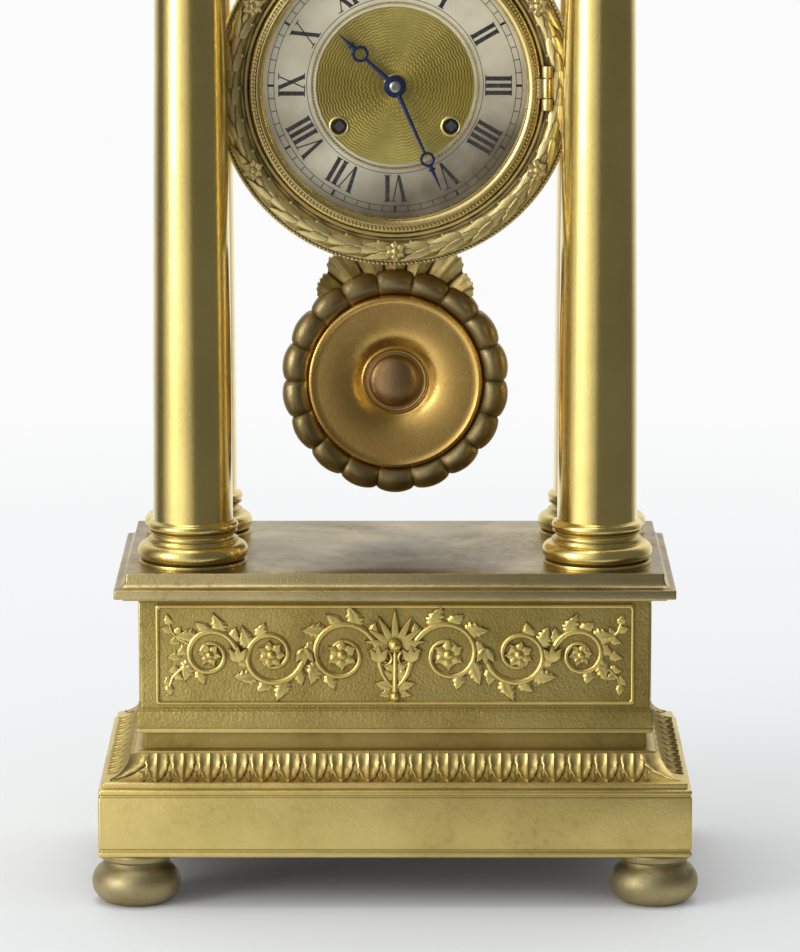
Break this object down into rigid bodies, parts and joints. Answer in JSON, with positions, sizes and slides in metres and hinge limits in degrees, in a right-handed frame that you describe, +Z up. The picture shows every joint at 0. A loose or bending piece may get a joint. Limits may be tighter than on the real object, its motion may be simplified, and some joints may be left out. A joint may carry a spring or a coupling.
{
  "type": "mantel clock",
  "caption": "Gilt portico mantel clock: columns on a footed plinth carry an entablature, with a glazed dial, a striking movement and a swinging pendulum hung between them.",
  "frame": {"origin": "on the surface the clock stands on, under the middle of its feet", "axes": "+Z up, -Y towards the viewer of the dial, +X to the right as seen from the front"},
  "size_m": [0.246, 0.148, 0.478],
  "materials": {
    "gilt_satin": "fire-gilt bronze, satin, lightly rubbed on the edges",
    "gilt_matt": "fire-gilt bronze, matt ground",
    "gilt_burnished": "fire-gilt bronze, chased, burnished on the high points",
    "gilt_column": "fire-gilt tube, burnished bright",
    "gilt_turned": "gilt brass with engine turning",
    "bob_gilt": "gilt bronze with a dark patina in the hollows",
    "plain_brass": "polished brass, slightly tarnished",
    "train_brass": "cut and polished brass",
    "bell_metal": "turned bell metal",
    "silvered": "silvered brass, finely grained",
    "bright_steel": "polished steel",
    "spring_steel": "tempered spring steel",
    "blued_steel": "blued steel",
    "black_iron": "black iron rod",
    "stained_wood": "stained board",
    "dial_glass": "clear glass"
  },
  "bodies": {
    "case": {"bun_feet": "gilt_satin", "base_floor": "stained_wood", "plinth_block": "gilt_satin", "leaf_moulding": "gilt_satin", "die": "gilt_matt", "base_mount": "gilt_burnished", "base_top": "gilt_satin", "column_bases": "gilt_satin", "columns": "gilt_column", "capitals": "gilt_satin", "tie_rods": "black_iron", "architrave": "gilt_satin", "frieze": "gilt_matt", "frieze_mount": "gilt_burnished", "cornice": "gilt_satin", "top_plate": "gilt_satin", "drum_hanger": "plain_brass", "case_screws": "blued_steel", "drum": "plain_brass", "outer_bezel": "gilt_burnished", "hinge_pins": "bright_steel", "chapter_ring": "silvered", "dial_centre": "gilt_turned", "front_plate": "plain_brass", "back_plate": "plain_brass", "plate_pillars": "plain_brass", "back_cock": "plain_brass", "bell": "bell_metal", "bell_stand": "bright_steel"},
    "door": {"door_bezel": "gilt_burnished", "door_glass": "dial_glass"},
    "back_door": {"rear_cover": "plain_brass"},
    "centre_arbor": {"centre_wheel": "train_brass", "cannon_pinion": "train_brass", "minute_hand": "blued_steel", "hand_nut": "plain_brass"},
    "hour_pipe": {"hour_wheel": "train_brass", "hour_hand": "blued_steel"},
    "motion_wheel": {"minute_wheel": "train_brass"},
    "second_arbor": {"second_wheel": "train_brass"},
    "third_arbor": {"third_wheel": "train_brass"},
    "escape_arbor": {"escape_wheel": "train_brass"},
    "going_drum": {"going_barrel": "train_brass", "going_mainspring": "spring_steel"},
    "going_winder": {"going_arbor": "bright_steel"},
    "going_pawl": {"going_click": "blued_steel"},
    "strike_drum": {"strike_barrel": "train_brass", "strike_mainspring": "spring_steel"},
    "strike_winder": {"strike_arbor": "bright_steel"},
    "strike_pawl": {"strike_click": "blued_steel"},
    "strike_second_arbor": {"strike_second_wheel": "train_brass"},
    "pin_arbor": {"pin_wheel": "train_brass"},
    "locking_arbor": {"locking_wheel": "train_brass"},
    "warning_arbor": {"warning_wheel": "train_brass"},
    "fly_arbor": {"fly": "train_brass"},
    "pallet_arbor": {"pallets": "bright_steel"},
    "pendulum": {"suspension_spring": "spring_steel", "pendulum_rod": "plain_brass", "bob": "bob_gilt"},
    "hammer_arm": {"hammer": "bright_steel"}
  },
  "joints": [
    {"name": "minute_turn", "type": "hinge", "parent": "case", "child": "centre_arbor", "pos_m": [0, 0.012, 0.3274], "axis": [0, 1, 0], "continuous": true},
    {"name": "hour_turn", "type": "hinge", "parent": "case", "child": "hour_pipe", "pos_m": [0, -0.01, 0.3274], "axis": [0, 1, 0], "continuous": true},
    {"name": "motion_turn", "type": "hinge", "parent": "case", "child": "motion_wheel", "pos_m": [0, -0.005, 0.3154], "axis": [0, 1, 0], "continuous": true},
    {"name": "second_turn", "type": "hinge", "parent": "case", "child": "second_arbor", "pos_m": [0.01712, 0.014, 0.33427], "axis": [0, 1, 0], "continuous": true},
    {"name": "third_turn", "type": "hinge", "parent": "case", "child": "third_arbor", "pos_m": [0.00192, 0.014, 0.3457], "axis": [0, 1, 0], "continuous": true},
    {"name": "escape_turn", "type": "hinge", "parent": "case", "child": "escape_arbor", "pos_m": [0, 0.014, 0.36098], "axis": [0, 1, 0], "continuous": true},
    {"name": "going_drum_turn", "type": "hinge", "parent": "case", "child": "going_drum", "pos_m": [0.0226, 0.014, 0.3109], "axis": [0, 1, 0], "continuous": true},
    {"name": "going_wind", "type": "hinge", "parent": "case", "child": "going_winder", "pos_m": [0.0226, 0.005, 0.3109], "axis": [0, 1, 0], "continuous": true},
    {"name": "going_pawl_lift", "type": "hinge", "parent": "case", "child": "going_pawl", "pos_m": [0.02885, -0.005, 0.30007], "axis": [0, -1, 0], "range_deg": [0, 12], "stiffness_Nm_per_rad": 0.002, "springref_deg": -5.73},
    {"name": "locking_turn", "type": "hinge", "parent": "case", "child": "locking_arbor", "pos_m": [-0.01186, 0.014, 0.35906], "axis": [0, 1, 0], "continuous": true},
    {"name": "pin_turn", "type": "hinge", "parent": "case", "child": "pin_arbor", "pos_m": [-0.02364, 0.014, 0.35226], "axis": [0, 1, 0], "continuous": true},
    {"name": "strike_second_turn", "type": "hinge", "parent": "case", "child": "strike_second_arbor", "pos_m": [-0.02677, 0.014, 0.33454], "axis": [0, 1, 0], "continuous": true},
    {"name": "strike_drum_turn", "type": "hinge", "parent": "case", "child": "strike_drum", "pos_m": [-0.0226, 0.014, 0.3109], "axis": [0, 1, 0], "continuous": true},
    {"name": "warning_turn", "type": "hinge", "parent": "case", "child": "warning_arbor", "pos_m": [-0.00906, 0.014, 0.36954], "axis": [0, 1, 0], "continuous": true},
    {"name": "fly_turn", "type": "hinge", "parent": "case", "child": "fly_arbor", "pos_m": [-0.01626, 0.02, 0.36954], "axis": [0, 1, 0], "continuous": true},
    {"name": "strike_wind", "type": "hinge", "parent": "case", "child": "strike_winder", "pos_m": [-0.0226, 0.005, 0.3109], "axis": [0, 1, 0], "continuous": true},
    {"name": "strike_pawl_lift", "type": "hinge", "parent": "case", "child": "strike_pawl", "pos_m": [-0.02885, -0.005, 0.30007], "axis": [0, 1, 0], "range_deg": [0, 12], "stiffness_Nm_per_rad": 0.002, "springref_deg": -5.73},
    {"name": "pendulum_swing", "type": "hinge", "parent": "case", "child": "pendulum", "pos_m": [0, 0.038, 0.37018], "axis": [0, 1, 0], "range_deg": [-4, 4]},
    {"name": "pallet_rock", "type": "hinge", "parent": "case", "child": "pallet_arbor", "pos_m": [0, 0.02, 0.37018], "axis": [0, 1, 0], "range_deg": [-4, 4]},
    {"name": "hammer_lift", "type": "hinge", "parent": "case", "child": "hammer_arm", "pos_m": [-0.044, 0.02, 0.3574], "axis": [0, 1, 0], "range_deg": [0, 6]},
    {"name": "door_open", "type": "hinge", "parent": "case", "child": "door", "pos_m": [0.0613, -0.0225, 0.3274], "axis": [0, 0, 1], "range_deg": [0, 90]},
    {"name": "back_door_open", "type": "hinge", "parent": "case", "child": "back_door", "pos_m": [-0.0616, 0.0534, 0.3274], "axis": [0, 0, 1], "range_deg": [0, 90]}
  ],
  "couplings": [
    {"joint": "hour_turn", "follows": "minute_turn", "ratio": 0.083333},
    {"joint": "motion_turn", "follows": "minute_turn", "ratio": -0.33333},
    {"joint": "second_turn", "follows": "minute_turn", "ratio": -0.13889},
    {"joint": "going_drum_turn", "follows": "minute_turn", "ratio": 0.019841},
    {"joint": "third_turn", "follows": "minute_turn", "ratio": -10.5},
    {"joint": "escape_turn", "follows": "minute_turn", "ratio": 105},
    {"joint": "pin_turn", "follows": "locking_turn", "ratio": -0.13333},
    {"joint": "strike_second_turn", "follows": "locking_turn", "ratio": 0.014815},
    {"joint": "strike_drum_turn", "follows": "locking_turn", "ratio": -0.0021164},
    {"joint": "warning_turn", "follows": "locking_turn", "ratio": -6.75},
    {"joint": "fly_turn", "follows": "locking_turn", "ratio": 33.75},
    {"joint": "pallet_rock", "follows": "pendulum_swing", "ratio": 1}
  ]
}
